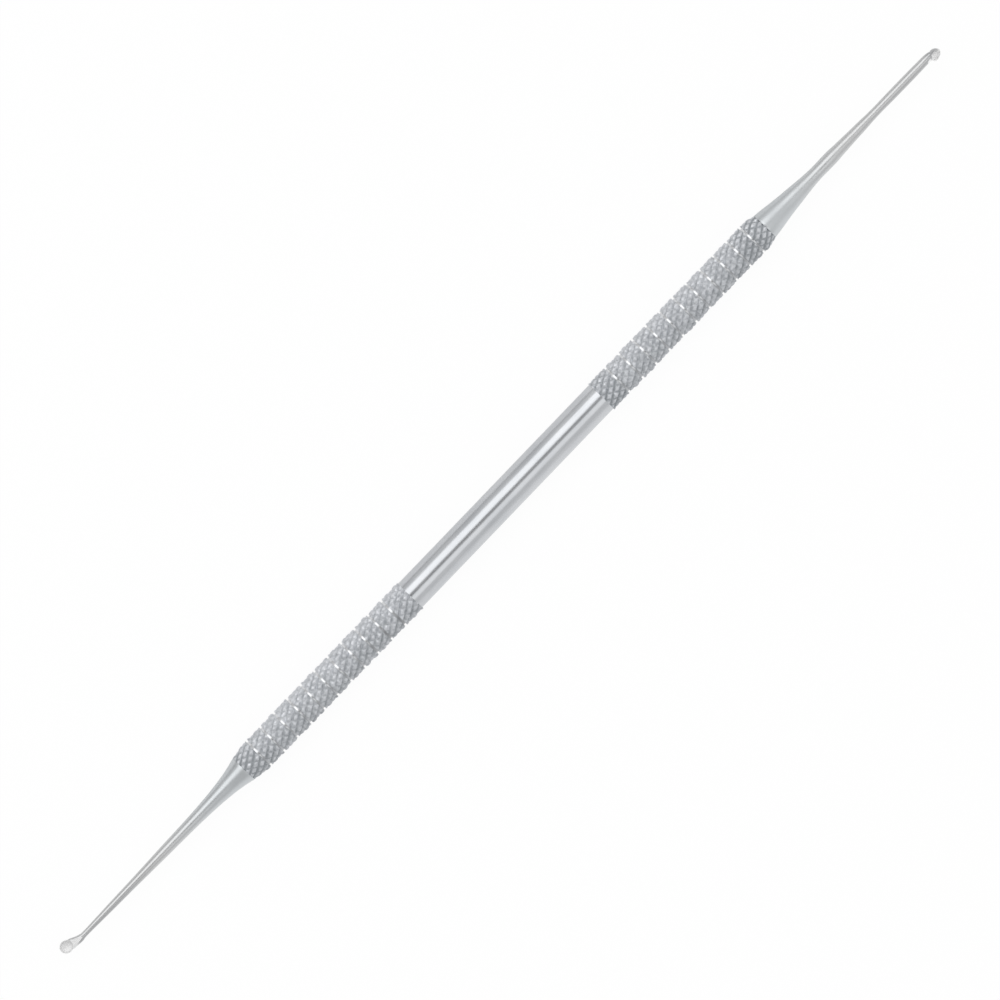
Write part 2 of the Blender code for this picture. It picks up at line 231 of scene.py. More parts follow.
class Finish(Bench):
    """A metal finish: a Principled material whose pattern is laid out in millimetres on the piece itself.

    Its places are millimetres from the middle of the tool's long axis, as x along the tool and y across it.
    """

    def __init__(self, name):
        self.material = bpy.data.materials.new(name)
        self.material.use_nodes = True
        super().__init__(self.material.node_tree)
        self.shader = self.tree.nodes["Principled BSDF"]
        self.shader.inputs["Metallic"].default_value = 1.0
        place = self.node("ShaderNodeTexCoord", out="Object")
        to_axis = (0, 0, -AXIS_HEIGHT / MM)
        self.place = self.node(
            "ShaderNodeMapping", {}, {"Vector": place, "Location": to_axis, "Scale": (1 / MM, 1 / MM, 1 / MM)}
        )
        split = self.node("ShaderNodeSeparateXYZ", {}, {"Vector": self.place})
        self.x = split
        self.y = split.output("Y")

    def from_middle(self):
        """How far along the tool it is from the middle, to either side."""
        return self.math("ABSOLUTE", self.x)

    def noise(self, stretch, detail=3.0, roughness=0.5):
        """Noise from 0 to 1, with a number of patches per millimetre along each axis."""
        where = self.node("ShaderNodeMapping", {}, {"Vector": self.place, "Scale": stretch})
        sockets = {"Vector": where, "Scale": 1.0, "Detail": detail, "Roughness": roughness}
        return self.node("ShaderNodeTexNoise", {}, sockets)

    def wear(self, color, roughness, height, strength, depth):
        """Sets the colour, roughness and relief of the finish, and returns its material."""
        sockets = {"Height": height, "Strength": strength, "Distance": depth}
        self.feed(self.shader.inputs["Base Color"], color)
        self.feed(self.shader.inputs["Roughness"], roughness)
        self.feed(self.shader.inputs["Normal"], self.node("ShaderNodeBump", {}, sockets))
        return self.material


def satin_bar_steel():
    """Bar polished along its length: long fine lines, faint cloudy patches."""
    finish = Finish("satin_bar_steel")
    lines = finish.noise((0.12, 12.0, 12.0), detail=4.0, roughness=0.65)
    clouds = finish.noise((0.2, 0.6, 0.6), detail=3.0)
    tone = finish.clamp(0.5 + (lines - 0.5) * 0.7 + (clouds - 0.5) * 1.6)
    color = finish.mix_color(tone, (0.515, 0.532, 0.557, 1), (0.63, 0.642, 0.66, 1))
    return finish.wear(color, 0.15 + lines * 0.09 + clouds * 0.05, lines, 0.15, FINE_RELIEF)


def rolled_knurl_steel():
    """Knurl: worn crests, with painted shade in the valleys, duller there, and greyer random patches.

    The painted shade in the valleys is deeper near the joints and at the scoop grip's shoulder, and on the -Y
    side.
    """
    finish = Finish("rolled_knurl_steel")
    rise = finish.node("ShaderNodeAttribute", {"attribute_name": "tooth_rise"}, out="Fac")
    valley = 1 - finish.ramp(rise, 0.0, 0.9)
    patches = finish.noise((0.7, 0.7, 0.7), detail=2.0)
    specks = finish.noise((3.0, 3.0, 3.0), detail=3.0, roughness=0.6)
    grain = finish.noise((9.0, 9.0, 9.0), detail=3.0, roughness=0.6)
    joint = (SCOOP_FACE_X - SPOON_FACE_X) / MM / 2
    shoulder = (SCOOP_FACE_X - SCOOP_GRIP_LENGTH) / MM
    by_joints = finish.ramp(finish.from_middle(), joint - 6.0, joint)
    by_shoulder = 1 - finish.ramp(finish.math("ABSOLUTE", finish.x - shoulder), 1.0, 4.0)
    # The valleys' painted shade is deeper near the joints and at the scoop grip's shoulder
    deeper_shade_by_ends = by_joints * 0.7 + by_shoulder * 0.5
    # Painted shade: darker towards the -Y side
    shaded_side = 1 - finish.ramp(finish.y, -2.4, 2.4)
    # Painted shade in the valleys and along the -Y side, plus random mottled tone
    shade_and_mottle = finish.clamp(
        valley * (0.2 + patches * 0.3 + deeper_shade_by_ends) + shaded_side * 0.5 - 0.03
        + (patches - 0.5) * 0.7 + (specks - 0.5) * 1.7 + (grain - 0.5) * 0.4
    )
    color = finish.mix_color(shade_and_mottle, (0.67, 0.686, 0.715, 1), (0.33, 0.35, 0.37, 1))
    finish.feed(finish.shader.inputs["Metallic"], 0.95 - shade_and_mottle * 0.7)
    return finish.wear(color, 0.28 + shade_and_mottle * 0.3 + grain * 0.12, grain, 0.45, COARSE_RELIEF)


def turned_groove_steel():
    """Ring grooves: turned, with fine rings left by the tool's point, and painted shade along the -Y side.

    On that side those of the spoon grip get deeper painted shade near the bar, and are rougher there.
    """
    finish = Finish("turned_groove_steel")
    rings = finish.noise((30.0, 0.3, 0.3), detail=2.0)
    # Painted shade: the grooves are darker towards the -Y side, mixed with the tool's rings
    lit_side_and_rings = finish.clamp(finish.ramp(finish.y, -1.0, 0.4) + (rings - 0.5) * 0.6)
    by_bar = finish.ramp(finish.x, -27.0, -20.0) * finish.ramp(finish.x, 0.0, -10.0)
    # Deeper painted shade in the spoon grip's grooves near the bar, on the -Y side
    deeper_groove_shade = by_bar * finish.ramp(finish.y, 0.5, -0.3) * 0.35
    color = finish.mix_color(lit_side_and_rings, (0.4, 0.412, 0.428, 1), (0.68, 0.69, 0.704, 1))
    color = finish.mix_color(deeper_groove_shade, color, (0.11, 0.113, 0.118, 1))
    return finish.wear(color, 0.15 + rings * 0.1 + deeper_groove_shade * 0.3, rings, 0.1, FINE_RELIEF)


def drawn_shank_steel():
    """Shanks: satin, with hair lines along the taper, cooler by the joints, painted shade near the tips along
    -Y.

    The scoop's back has painted shade too, and the -Y side of each neck is ground pale where it runs into its
    cup, and that pale also paints light over the shade where the neck meets the cup.
    """
    finish = Finish("drawn_shank_steel")
    lines = finish.noise((0.2, 16.0, 16.0), detail=4.0, roughness=0.65)
    clouds = finish.noise((0.4, 1.2, 1.2), detail=2.0)
    tone = finish.clamp(0.5 + (lines - 0.5) * 0.8 + (clouds - 0.5) * 0.6)
    # Painted shade along the -Y side near each tip
    tip_side_shade = (
        finish.ramp(finish.x, -56.0, -68.0) * finish.ramp(finish.y, 0.15, -0.2)
        + finish.ramp(finish.x, 56.0, 68.0) * finish.ramp(finish.y, -0.1, -0.4) * 0.6
    )
    # Painted shade on the scoop's back
    scoop_back_shade = finish.ramp(finish.x, 71.8, 72.6) * finish.ramp(finish.y, -0.3, -0.05)
    # Pale ground finish on the -Y side of each neck by its cup, which also paints light over the shade there
    by_spoon = finish.ramp(finish.x, -71.6, -72.2) * finish.ramp(finish.y, 0.45, 0.15)
    by_scoop = finish.ramp(finish.x, 72.3, 72.7) * finish.ramp(finish.y, -0.05, -0.3)
    ground = finish.clamp(by_spoon + by_scoop)
    by_joints = finish.ramp(finish.from_middle(), 60.0, 46.0)
    tip_color = finish.mix_color(tone, (0.545, 0.55, 0.553, 1), (0.622, 0.626, 0.628, 1))
    joint_color = finish.mix_color(tone, (0.532, 0.555, 0.571, 1), (0.612, 0.636, 0.651, 1))
    color = finish.mix_color(by_joints, tip_color, joint_color)
    color = finish.mix_color(finish.clamp(tip_side_shade * 0.7 + scoop_back_shade * 0.7), color, (0.42, 0.426, 0.434, 1))
    color = finish.mix_color(ground, color, (0.86, 0.862, 0.863, 1))
    satin = 0.22 + lines * 0.1 + clouds * 0.08
    return finish.wear(color, satin + (0.55 - satin) * ground, lines, 0.15, FINE_RELIEF)


def ground_cup_steel(name, shaded_y, lit_y, grey, pale):
    """Hollow and neck top of one end: freshly ground and dull, with a fine grain, and painted shade to one
    side.
    """
    finish = Finish(name)
    grain = finish.noise((12.0, 12.0, 12.0), detail=2.0)
    clouds = finish.noise((2.0, 2.0, 2.0), detail=2.0)
    # Painted shade: the cup is greyer towards one side and paler towards the other
    tone = finish.clamp(finish.ramp(finish.y, shaded_y, lit_y) + (grain - 0.5) * 0.1 + (clouds - 0.5) * 0.3)
    color = finish.mix_color(tone, (grey, grey, grey, 1), (pale, pale, pale, 1))
    return finish.wear(color, 0.6 + grain * 0.1, grain, 0.03, FINE_RELIEF)


def silver_solder():
    """Solder in the joint: warm dull silver with a wavy skin."""
    finish = Finish("silver_solder")
    ripple = finish.noise((5.0, 5.0, 5.0), detail=3.0)
    color = finish.mix_color(ripple, (0.62, 0.58, 0.46, 1), (0.8, 0.77, 0.66, 1))
    return finish.wear(color, 0.3 + ripple * 0.2, ripple, 0.4, COARSE_RELIEF)


def crest_limit(distance, length, chamfer, grooves):
    """The largest radius that the knurl may have at a distance from its grip's shoulder."""
    into_chamfer = max(0.0, distance - (length - chamfer)) / chamfer
    limit = CREST_RADIUS + (GRIP_END_RADIUS - CREST_RADIUS) * into_chamfer
    to_groove = min(abs(distance - middle) for middle in grooves) - GROOVE_WIDTH / 2
    into_rounding = max(0.0, 1 - max(to_groove, 0.0) / COLLAR_ROUNDING)
    return limit - COLLAR_DROP * into_rounding ** 2


def grip_stations(length, first_groove, last_groove, chamfer):
    """One grip's stations from its shoulder outwards.

    Each has its distance from the shoulder, radius, whether it is knurled, the knurl's largest radius there,
    and the finish of the strip that follows it.
    """
    step = KNURL_PITCH / (2 * CELL_SPLITS)
    pitch = (length - first_groove - last_groove) / (GROOVE_COUNT - 1)
    grooves = [first_groove + number * pitch for number in range(GROOVE_COUNT)]
    stations = []
    for distance in [step * number for number in range(int(length / step) + 1)] + [length]:
        if all(abs(distance - middle) > GROOVE_WIDTH / 2 + step / 3 for middle in grooves):
            limit = crest_limit(distance, length, chamfer, grooves)
            stations.append((distance, BAR_RADIUS, 1, limit, KNURL_STRIP))
    for middle in grooves:
        start, stop = middle - GROOVE_WIDTH / 2, middle + GROOVE_WIDTH / 2
        edge = crest_limit(middle, length, chamfer, grooves)
        stations.append((start, BAR_RADIUS, 1, edge, GROOVE_STRIP))
        for inward, rise in FILLET_POINTS:
            for distance in (start + inward * GROOVE_FILLET, stop - inward * GROOVE_FILLET):
                stations.append((distance, GROOVE_RADIUS + rise * GROOVE_FILLET, 0, edge, GROOVE_STRIP))
        stations.append((stop, BAR_RADIUS, 1, edge, KNURL_STRIP))
    return sorted(stations)


def handle_profile():
    """The handle's half section from one bore's bottom to the other's, as a row of points.

    Distances from the spoon grip's shoulder are negative, so that the knurl leans the same way on both grips.
    """
    spoon = grip_stations(SPOON_GRIP_LENGTH, SPOON_FIRST_GROOVE, SPOON_LAST_GROOVE, SPOON_GRIP_CHAMFER)
    scoop = grip_stations(SCOOP_GRIP_LENGTH, SCOOP_FIRST_GROOVE, SCOOP_LAST_GROOVE, SCOOP_GRIP_CHAMFER)
    spoon_shoulder = SPOON_FACE_X + SPOON_GRIP_LENGTH
    scoop_shoulder = SCOOP_FACE_X - SCOOP_GRIP_LENGTH
    bore = (
        (BORE_DEPTH, 0.0),
        (BORE_DEPTH, BORE_RADIUS),
        (MOUTH_CHAMFER, BORE_RADIUS),
        (0.0, BORE_RADIUS + MOUTH_CHAMFER),
    )
    rows = [(SPOON_FACE_X + inward, radius, 0.0, 0, 1.0, BAR_STRIP) for inward, radius in bore]
    for number in reversed(range(len(spoon))):
        distance, radius, knurled, limit, _ = spoon[number]
        strip = spoon[number - 1][4] if number else BAR_STRIP
        rows.append((spoon_shoulder - distance, radius, -distance, knurled, limit, strip))
    rows.append((spoon_shoulder, BAR_RADIUS, 0.0, 0, 1.0, BAR_STRIP))
    rows.append((scoop_shoulder, BAR_RADIUS, 0.0, 0, 1.0, BAR_STRIP))
    for distance, radius, knurled, limit, strip in scoop:
        rows.append((scoop_shoulder + distance, radius, distance, knurled, limit, strip))
    rows += [(SCOOP_FACE_X - inward, radius, 0.0, 0, 1.0, BAR_STRIP) for inward, radius in reversed(bore)]
    mesh = bpy.data.meshes.new("handle_profile")
    lines = [(number, number + 1) for number in range(len(rows) - 1)]
    mesh.from_pydata([(x, radius, 0) for x, radius, *_ in rows], lines, [])
    for column, name in ((2, "from_shoulder"), (3, "knurled"), (4, "limit"), (5, "strip")):
        attribute = mesh.attributes.new(name, "FLOAT", "POINT")
        attribute.data.foreach_set("value", [float(row[column]) for row in rows])
    return mesh


def turning_tree():
    """Geometry Nodes that turn a profile round the long axis and roll a diamond knurl into parts of it."""
    tree = bpy.data.node_groups.new("turned_and_knurled_bar", "GeometryNodeTree")
    face = tree.interface
    face.new_socket(name="Profile", in_out="INPUT", socket_type="NodeSocketGeometry")
    for name in ("Sides", "Teeth"):
        face.new_socket(name=name, in_out="INPUT", socket_type="NodeSocketInt")
    for name in (
        "Knurl Pitch", "Knurl Depth", "Valley Radius", "Valley Width", "Crest Width", "Second Row Depth",
        "End Tooth Depth", "Unevenness", "Seed", "Axis Height", "First Corner", "Merge",
    ):
        face.new_socket(name=name, in_out="INPUT", socket_type="NodeSocketFloat")
    for name in STRIP_FINISHES:
        face.new_socket(name=name, in_out="INPUT", socket_type="NodeSocketMaterial")
    face.new_socket(name="Bar", in_out="OUTPUT", socket_type="NodeSocketGeometry")
    bench = Bench(tree)
    given = bench.node("NodeGroupInput", out="Profile")
    sides = given.output("Sides")
    teeth = given.output("Teeth")

    def on_profile(field, index, data_type="FLOAT"):
        settings = {"data_type": data_type, "domain": "POINT"}
        sockets = {"Geometry": given, "Value": field, "Index": index}
        return bench.node("GeometryNodeSampleIndex", settings, sockets)

    def attribute(name):
        return bench.node("GeometryNodeInputNamedAttribute", {"data_type": "FLOAT"}, {"Name": name})

    count = bench.node("GeometryNodeAttributeDomainSize", {"component": "MESH"}, {"Geometry": given})
    grid = bench.node("GeometryNodeMeshGrid", {}, {"Vertices X": count, "Vertices Y": sides + 1})
    index = bench.node("GeometryNodeInputIndex")
    station = bench.math("FLOOR", index / (sides + 1))
    corner = index - station * (sides + 1)
    spot = on_profile(bench.node("GeometryNodeInputPosition"), station, "FLOAT_VECTOR")
    plain = bench.node("ShaderNodeSeparateXYZ", {}, {"Vector": spot})

    around = corner / sides
    across = around * teeth
    along = on_profile(attribute("from_shoulder"), station) / given.output("Knurl Pitch")
    valley_width = given.output("Valley Width")
    flank = 1 - valley_width - given.output("Crest Width")

    def ridge(lattice):
        return bench.clamp((bench.math("PINGPONG", lattice, 0.5) * 2 - valley_width) / flank)

    second_ridge = 1 - (1 - ridge(across - along)) * given.output("Second Row Depth")
    tooth_rise = bench.math("MINIMUM", ridge(across + along), second_ridge)
    left_count, right_count = bench.math("FLOOR", across + along), bench.math("FLOOR", across - along)
    tooth = bench.node(
        "ShaderNodeCombineXYZ", {},
        {
            "X": bench.math("WRAP", left_count, teeth, 0.0),
            "Y": left_count - right_count,
            "Z": given.output("Seed"),
        },
    )
    chance = bench.node("ShaderNodeTexWhiteNoise", {"noise_dimensions": "3D"}, {"Vector": tooth}, out="Value")
    height = tooth_rise * given.output("Knurl Depth") * (1 - given.output("Unevenness") * chance)
    pressed = on_profile(attribute("knurled"), station)
    limit = on_profile(attribute("limit"), station) - (1 - tooth_rise) * given.output("End Tooth Depth")
    knurl_radius = bench.math("MINIMUM", given.output("Valley Radius") + height, limit)
    radius = plain.output("Y") * (1 - pressed) + knurl_radius * pressed
    angle = around * (2 * math.pi) + given.output("First Corner")
    place = bench.node(
        "ShaderNodeCombineXYZ", {},
        {
            "X": plain,
            "Y": radius * bench.math("COSINE", angle),
            "Z": radius * bench.math("SINE", angle) + given.output("Axis Height"),
        },
    )
    turned = bench.node("GeometryNodeSetPosition", {}, {"Geometry": grid, "Position": place})
    strip = on_profile(attribute("strip"), bench.math("FLOOR", index / sides))
    marked = bench.node(
        "GeometryNodeStoreNamedAttribute", {"data_type": "FLOAT", "domain": "FACE"},
        {"Geometry": turned, "Name": "strip", "Value": strip},
    )
    marked = bench.node(
        "GeometryNodeStoreNamedAttribute", {"data_type": "FLOAT", "domain": "POINT"},
        {"Geometry": marked, "Name": "tooth_rise", "Value": tooth_rise},
    )
    sockets = {"Geometry": marked, "Distance": given.output("Merge")}
    closed = bench.node("GeometryNodeMergeByDistance", {}, sockets)
    bar = bench.node("GeometryNodeRealizeInstances", {}, {"Geometry": closed})
    for number, name in enumerate(STRIP_FINISHES):
        settings = {"data_type": "FLOAT", "operation": "EQUAL"}
        chosen = bench.node("FunctionNodeCompare", settings, {0: attribute("strip"), 1: float(number)})
        sockets = {"Geometry": bar, "Selection": chosen, "Material": given.output(name)}
        bar = bench.node("GeometryNodeSetMaterial", {}, sockets)
    bench.node("NodeGroupOutput", {}, {0: bar})
    return tree


def make_handle():
    piece = add_piece("curette_handle", handle_profile())
    modifier = piece.modifiers.new("turning", "NODES")
    modifier.node_group = turning_tree()
    sizes = {
        "Sides": HANDLE_SIDES,
        "Teeth": KNURL_TEETH,
        "Knurl Pitch": KNURL_PITCH,
        "Knurl Depth": KNURL_DEPTH,
        "Valley Radius": CREST_RADIUS - KNURL_DEPTH,
        "Valley Width": VALLEY_WIDTH,
        "Crest Width": CREST_WIDTH,
        "Second Row Depth": SECOND_ROW_DEPTH,
        "End Tooth Depth": GRIP_END_TOOTH_DEPTH,
        "Unevenness": KNURL_UNEVENNESS,
        "Seed": KNURL_SEED,
        "Axis Height": AXIS_HEIGHT,
        "First Corner": FIRST_CORNER,
        "Merge": BAR_MERGE,
        "Bar Finish": satin_bar_steel(),
        "Knurl Finish": rolled_knurl_steel(),
        "Groove Finish": turned_groove_steel(),
    }
    for item in modifier.node_group.interface.items_tree:
        if item.name in sizes:
            modifier[item.identifier] = sizes[item.name]
    finished_mesh(piece)
    piece.data.attributes.remove(piece.data.attributes["strip"])
    point_outwards(piece.data)
    return piece


def eased(table, at):
    """Values of a table of (place, value, ...) rows at new places, on curves that don't overshoot."""
    table = np.array(table, float)
    places, values = table[:, 0], table[:, 1:]
    gaps = np.diff(places)[:, None]
    slopes = np.diff(values, axis=0) / gaps
    ends = np.zeros_like(values)
    before, after = slopes[:-1], slopes[1:]
    same = before * after > 0
    ends[1:-1][same] = (2 * before * after)[same] / (before + after)[same]
    ends[0], ends[-1] = slopes[0], slopes[-1]
    at = np.clip(np.asarray(at, float), places[0], places[-1])
    cell = np.clip(np.searchsorted(places, at, side="right") - 1, 0, len(gaps) - 1)
    width = gaps[cell]
    share = (at - places[cell])[:, None] / width
    low, high = values[cell], values[cell + 1]
    bend = share ** 2 * (3 - 2 * share)
    lift = share * (1 - share) ** 2 * ends[cell] - share ** 2 * (1 - share) * ends[cell + 1]
    return (low + (high - low) * bend + lift * width).tolist()


class WorkingEnd:
    """Sizes of one working end in its own frame, where X points outwards from the handle's end face.

    Its neck is bent towards -Y, and its bowl is turned back by an angle and rolled towards -Y.
    """

    def __init__(self, reach, neck_reach, neck_set, half_length, half_width, depth, bend, turn=0, roll=0):
        self.shank_length = reach - neck_reach
        self.neck_set = neck_set
        self.half_length = half_length
        self.half_width = half_width
        self.depth = depth
        self.rise = depth / 2
        self.bend_angle = math.radians(bend)
        self.roll = math.radians(roll)
        self.bend_radius = BEND_LENGTH / self.bend_angle
        self.forward, self.across, self.up = self.axes(self.bend_angle - math.radians(turn))
        tip = math.hypot(
            self.half_length * self.forward.x, self.half_width * self.across.x, self.depth * min(self.up.x, 0)
        )
        root_x = reach - tip - self.rise * self.up.x
        after_bend_x = self.shank_length + self.bend_radius * math.sin(self.bend_angle)
        self.neck_length = BEND_LENGTH + (root_x - after_bend_x) / math.cos(self.bend_angle)
        self.centre = self.on_neck(self.neck_length) + self.rise * self.up

    def axes(self, bend):
        """Forward, across and up at a bend in the XY plane, rolled towards -Y."""
        forward = Vector((math.cos(bend), -math.sin(bend), 0))
        level = Vector((math.sin(bend), math.cos(bend), 0))
        upright = Vector((0, 0, 1))
        across = math.cos(self.roll) * level + math.sin(self.roll) * upright
        up = math.cos(self.roll) * upright - math.sin(self.roll) * level
        return forward, across, up

    def bend_at(self, distance):
        return self.bend_angle * min(distance / BEND_LENGTH, 1.0)

    def on_neck(self, distance):
        bend = self.bend_at(distance)
        past = max(distance - BEND_LENGTH, 0.0)
        along = self.bend_radius * math.sin(bend) + past * math.cos(bend)
        aside = self.bend_radius * (1 - math.cos(bend)) + past * math.sin(bend)
        return Vector((self.shank_length + along, -self.neck_set - aside, 0))

    def shank_ring(self, along_share, across_share):
        distance = SEAT_GAP + along_share * (self.shank_length - SEAT_GAP)
        return ring_of(distance, across_share * SHOULDER_RADIUS, -self.neck_set * along_share ** 2)

    def flat_start(self):
        """The first of the neck's sides that are ground flat."""
        quarter_turn = (math.pi / 2 + self.roll) / (2 * math.pi)
        return round(SHANK_SIDES * quarter_turn) - FLAT_SIDES // 2

    def neck_ring(self, along_share, width_share, under_share, over_share):
        """An ellipse that is ground flat on top, level with the bowl's rim."""
        distance = along_share * self.neck_length
        _, across, up = self.axes(self.bend_at(distance))
        middle = self.on_neck(distance)
        even = math.pi / 2 - math.pi * FLAT_SIDES / SHANK_SIDES
        settled = min(along_share / FLAT_SETTLE, 1.0)
        corner = even + (math.asin(min(over_share / under_share, 1.0)) - even) * settled
        flat, rest = math.pi - 2 * corner, math.pi + 2 * corner
        ring = []
        for side in range(SHANK_SIDES):
            past = (side - self.flat_start()) % SHANK_SIDES
            on_flat = corner + flat * past / FLAT_SIDES
            on_rest = corner + flat + rest * (past - FLAT_SIDES) / (SHANK_SIDES - FLAT_SIDES)
            angle = on_flat if past < FLAT_SIDES else on_rest
            height = min(under_share * math.sin(angle), over_share) * self.rise
            ring.append(middle + width_share * self.half_width * math.cos(angle) * across + height * up)
        return ring

    def bowl_ring(self, inset, depth, angle, lift=0.0):
        """A ring of the bowl, inset from its outside, at an angle up from its lowest point."""
        centre = self.centre + (lift - depth * math.cos(angle)) * self.up
        ring = []
        for side in range(SHANK_SIDES):
            around = 2 * math.pi * side / SHANK_SIDES
            forward = (self.half_length - inset) * math.sin(angle) * math.cos(around)
            across = (self.half_width - inset) * math.sin(angle) * math.sin(around)
            ring.append(centre + forward * self.forward + across * self.across)
        return ring


def ring_of(x, radius, aside=0.0):
    turns = [2 * math.pi * side / SHANK_SIDES for side in range(SHANK_SIDES)]
    return [Vector((x, aside + radius * math.cos(turn), radius * math.sin(turn))) for turn in turns]


def skinned(name, rings, ground_from=None, flat_start=None):
    """A closed mesh through a row of rings; a ring of no size becomes a pole.

    The faces from one ring on may have the ground finish, the second of the two, or their flat sides may.
    """
    work = bmesh.new()
    rows = [[work.verts.new(point) for point in ring] for ring in rings]
    for number, (row, following) in enumerate(zip(rows, rows[1:])):
        for side in range(len(row)):
            after = (side + 1) % len(row)
            face = work.faces.new((row[side], row[after], following[after], following[side]))
            on_flat = flat_start is None or (side - flat_start) % SHANK_SIDES < FLAT_SIDES
            face.material_index = int(ground_from is not None and number >= ground_from and on_flat)
    work.faces.new(list(reversed(rows[0])))
    work.faces.new(rows[-1])
    bmesh.ops.remove_doubles(work, verts=work.verts, dist=END_MERGE)
    bmesh.ops.recalc_face_normals(work, faces=work.faces)
    mesh = bpy.data.meshes.new(name)
    work.to_mesh(mesh)
    work.free()
    return mesh


def shank_and_neck(name, end, shank_shares, neck_shares):
    """Tang, shoulder, shank and neck in one skin."""
    rings = [
        ring_of(-TANG_LENGTH, 0.0),
        ring_of(-TANG_LENGTH, TANG_RADIUS - TANG_CHAMFER),
        ring_of(TANG_CHAMFER - TANG_LENGTH, TANG_RADIUS),
        ring_of(SEAT_GAP, TANG_RADIUS),
        ring_of(SEAT_GAP, SHOULDER_RADIUS - SHOULDER_ROUNDING),
        ring_of(SEAT_GAP + SHOULDER_ROUNDING / 3, SHOULDER_RADIUS - SHOULDER_ROUNDING / 3),
    ]
    places = np.linspace(SHANK_START, 1.0, SHANK_STEPS).tolist()
    rings += [end.shank_ring(place, share) for place, (share,) in zip(places, eased(shank_shares, places))]
    neck_start = len(rings)
    last = shank_shares[-1][1] * SHOULDER_RADIUS
    start = (0.0, last / end.half_width, last / end.rise, last / end.rise)
    places = np.linspace(0.0, 1.0, NECK_STEPS + 1)[1:].tolist()
    rings += [end.neck_ring(place, *row) for place, row in zip(places, eased((start, *neck_shares), places))]
    return skinned(name, rings, neck_start + 1, end.flat_start())


def bowl_shell(name, end):
    """The bowl's wall, with a rounded rim, and ground from its rim inwards."""
    quarter = [math.pi / 2 * step / BOWL_STEPS for step in range(BOWL_STEPS + 1)]
    lip = BOWL_RIM / 2
    rings = [end.bowl_ring(0.0, end.depth - lip, angle, -lip) for angle in quarter]
    for step in range(1, RIM_STEPS):
        turn = math.pi * step / RIM_STEPS
        rings.append(end.bowl_ring(lip - lip * math.cos(turn), 0.0, math.pi / 2, lip * math.sin(turn) - lip))
    inside = end.depth - lip - BOWL_FLOOR
    rings += [end.bowl_ring(BOWL_RIM, inside, angle, -lip) for angle in reversed(quarter)]
    return skinned(name, rings, ground_from=BOWL_STEPS + 2)


def bowl_room(name, end):
    """The room inside the bowl out to the middle of its wall, and as much again over its rim."""
    angles = [math.pi * step / (2 * BOWL_STEPS) for step in range(2 * BOWL_STEPS + 1)]
    return skinned(name, [end.bowl_ring(BOWL_RIM / 2, end.depth - BOWL_FLOOR / 2, angle) for angle in angles])


def combined(piece, other, operation):
    modifier = piece.modifiers.new(operation.lower(), "BOOLEAN")
    modifier.operation = operation
    modifier.solver = "EXACT"
    modifier.object = other


def make_working_end(name, end, cup_finish, shank_shares, neck_shares, face_x, turned_round):
    """One working end at a face of the handle: its bowl is cut out of the neck and walled, in one skin."""
    piece = add_piece(name, shank_and_neck(name, end, shank_shares, neck_shares))
    room = add_piece(f"{name}_room", bowl_room(f"{name}_room", end))
    shell = add_piece(f"{name}_shell", bowl_shell(f"{name}_shell", end))
    for item in (piece, room, shell):
        item.data.materials.append(SHANK_FINISH)
        item.data.materials.append(cup_finish)
    combined(piece, room, "DIFFERENCE")
    combined(piece, shell, "UNION")
    bpy.context.view_layer.update()
    finished_mesh(piece)
    for item in (room, shell):
        bpy.data.objects.remove(item)
    flip = -1 if turned_round else 1
    for vertex in piece.data.vertices:
        x, y, z = vertex.co
        vertex.co = (face_x + flip * x, flip * y, z + AXIS_HEIGHT)
    return piece


# Rows of a shank: how far along it, and its radius as a share of the shoulder's
SPOON_SHANK_SHARES = (
    (0.0, 1.0),
    (0.039, 0.856),
    (0.09, 0.708),
    (0.142, 0.611),
    (0.193, 0.536),
    (0.245, 0.486),
    (0.296, 0.444),
    (0.396, 0.4),
    (0.502, 0.364),
    (0.605, 0.319),
    (0.708, 0.278),
    (0.811, 0.25),
    (0.914, 0.211),
    (0.97, 0.192),
    (1.0, 0.194),
)
SCOOP_SHANK_SHARES = (
    (0.0, 1.0),
    (0.037, 0.939),
    (0.089, 0.825),
    (0.141, 0.724),
    (0.193, 0.643),
    (0.245, 0.556),
    (0.297, 0.489),
    (0.336, 0.469),
    (0.375, 0.478),
    (0.419, 0.482),
    (0.458, 0.444),
    (0.505, 0.414),
    (0.557, 0.378),
    (0.61, 0.353),
    (0.66, 0.314),
    (0.714, 0.3),
    (0.79, 0.314),
    (0.896, 0.318),
    (1.0, 0.297),
)

# Rows of a neck: how far along it, half its width as a share of the bowl's, and how far it reaches below and
# above its middle as shares of half the bowl's depth
SPOON_NECK_SHARES = (
    (0.1, 0.53, 1.29, 1.25),
    (0.25, 0.595, 1.29, 1.15),
    (0.4, 0.665, 1.25, 1.04),
    (0.55, 0.75, 1.15, 0.98),
    (0.7, 0.82, 1.02, 0.93),
    (0.85, 0.82, 0.82, 0.8),
    (1.0, 0.7, 0.6, 0.6),
)
SCOOP_NECK_SHARES = (
    (0.12, 0.65, 1.12, 1.09),
    (0.28, 0.655, 1.09, 1.02),
    (0.42, 0.67, 1.06, 0.98),
    (0.56, 0.69, 1.01, 0.94),
    (0.7, 0.7, 0.94, 0.88),
    (0.85, 0.69, 0.82, 0.8),
    (1.0, 0.62, 0.6, 0.6),
)

SHANK_FINISH = drawn_shank_steel()
# Each cup is painted greyer to one side as painted shade
SPOON_FINISH = ground_cup_steel("ground_spoon_steel", shaded_y=0.9, lit_y=-0.5, grey=0.79, pale=0.88)
SCOOP_FINISH = ground_cup_steel("ground_scoop_steel", shaded_y=0.0, lit_y=-0.5, grey=0.6, pale=0.99)

